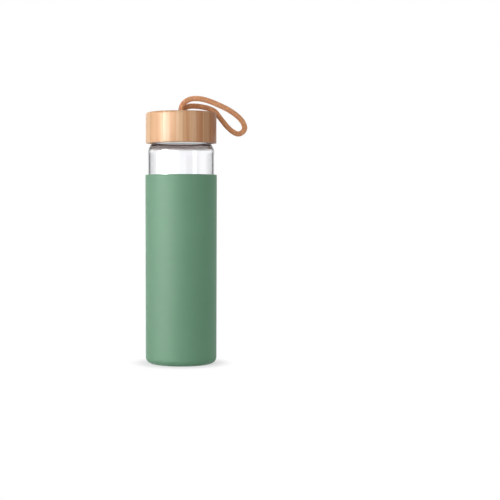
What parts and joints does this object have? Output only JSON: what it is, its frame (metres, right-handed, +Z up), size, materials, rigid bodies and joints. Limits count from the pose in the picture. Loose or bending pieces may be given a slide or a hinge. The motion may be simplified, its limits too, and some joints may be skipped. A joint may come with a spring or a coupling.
{
  "type": "glass water bottle with sleeve",
  "caption": "Straight glass water bottle with a silicone sleeve, a bamboo screw cap and a braided carry loop.",
  "frame": {"origin": "middle of the sleeve's base, on the surface the bottle stands on", "axes": "+Z up along the bottle's axis, the carry loop hangs over the cap on the +X side, -Y faces the viewer"},
  "size_m": [0.0982, 0.0686, 0.2558],
  "materials": {
    "sleeve": "matte",
    "glass": "polished",
    "seal": "satin",
    "liner": "satin",
    "bamboo": "satin",
    "cord": "matte"
  },
  "bodies": {
    "sleeve": {"silicone_sleeve": "sleeve"},
    "bottle": {"glass_bottle": "glass"},
    "seal": {"seal_ring": "seal"},
    "cap": {"bamboo_cap": "bamboo", "cap_liner": "liner"},
    "knot": {"cord_knot": "cord"},
    "loop": {"cord_loop": "cord"}
  },
  "joints": [
    {"name": "bottle_pull", "type": "slide", "parent": "sleeve", "child": "bottle", "axis": [0, 0, 1], "range_m": [0, 0.19]},
    {"name": "cap_lift", "type": "slide", "parent": "bottle", "child": "seal", "axis": [0, 0, 1], "range_m": [0, 0.0135]},
    {"name": "cap_turn", "type": "hinge", "parent": "seal", "child": "cap", "pos_m": [0, 0, 0.2104], "axis": [0, 0, 1], "range_deg": [0, 1080]},
    {"name": "cord_swivel", "type": "hinge", "parent": "cap", "child": "knot", "pos_m": [0, 0, 0.24], "axis": [0, 0, 1], "continuous": true},
    {"name": "loop_swing", "type": "hinge", "parent": "knot", "child": "loop", "pos_m": [0, 0, 0.2429], "axis": [0, -1, 0], "range_deg": [0, 100]}
  ],
  "couplings": [
    {"joint": "cap_lift", "follows": "cap_turn", "m_per_rad": 0.0007162}
  ]
}
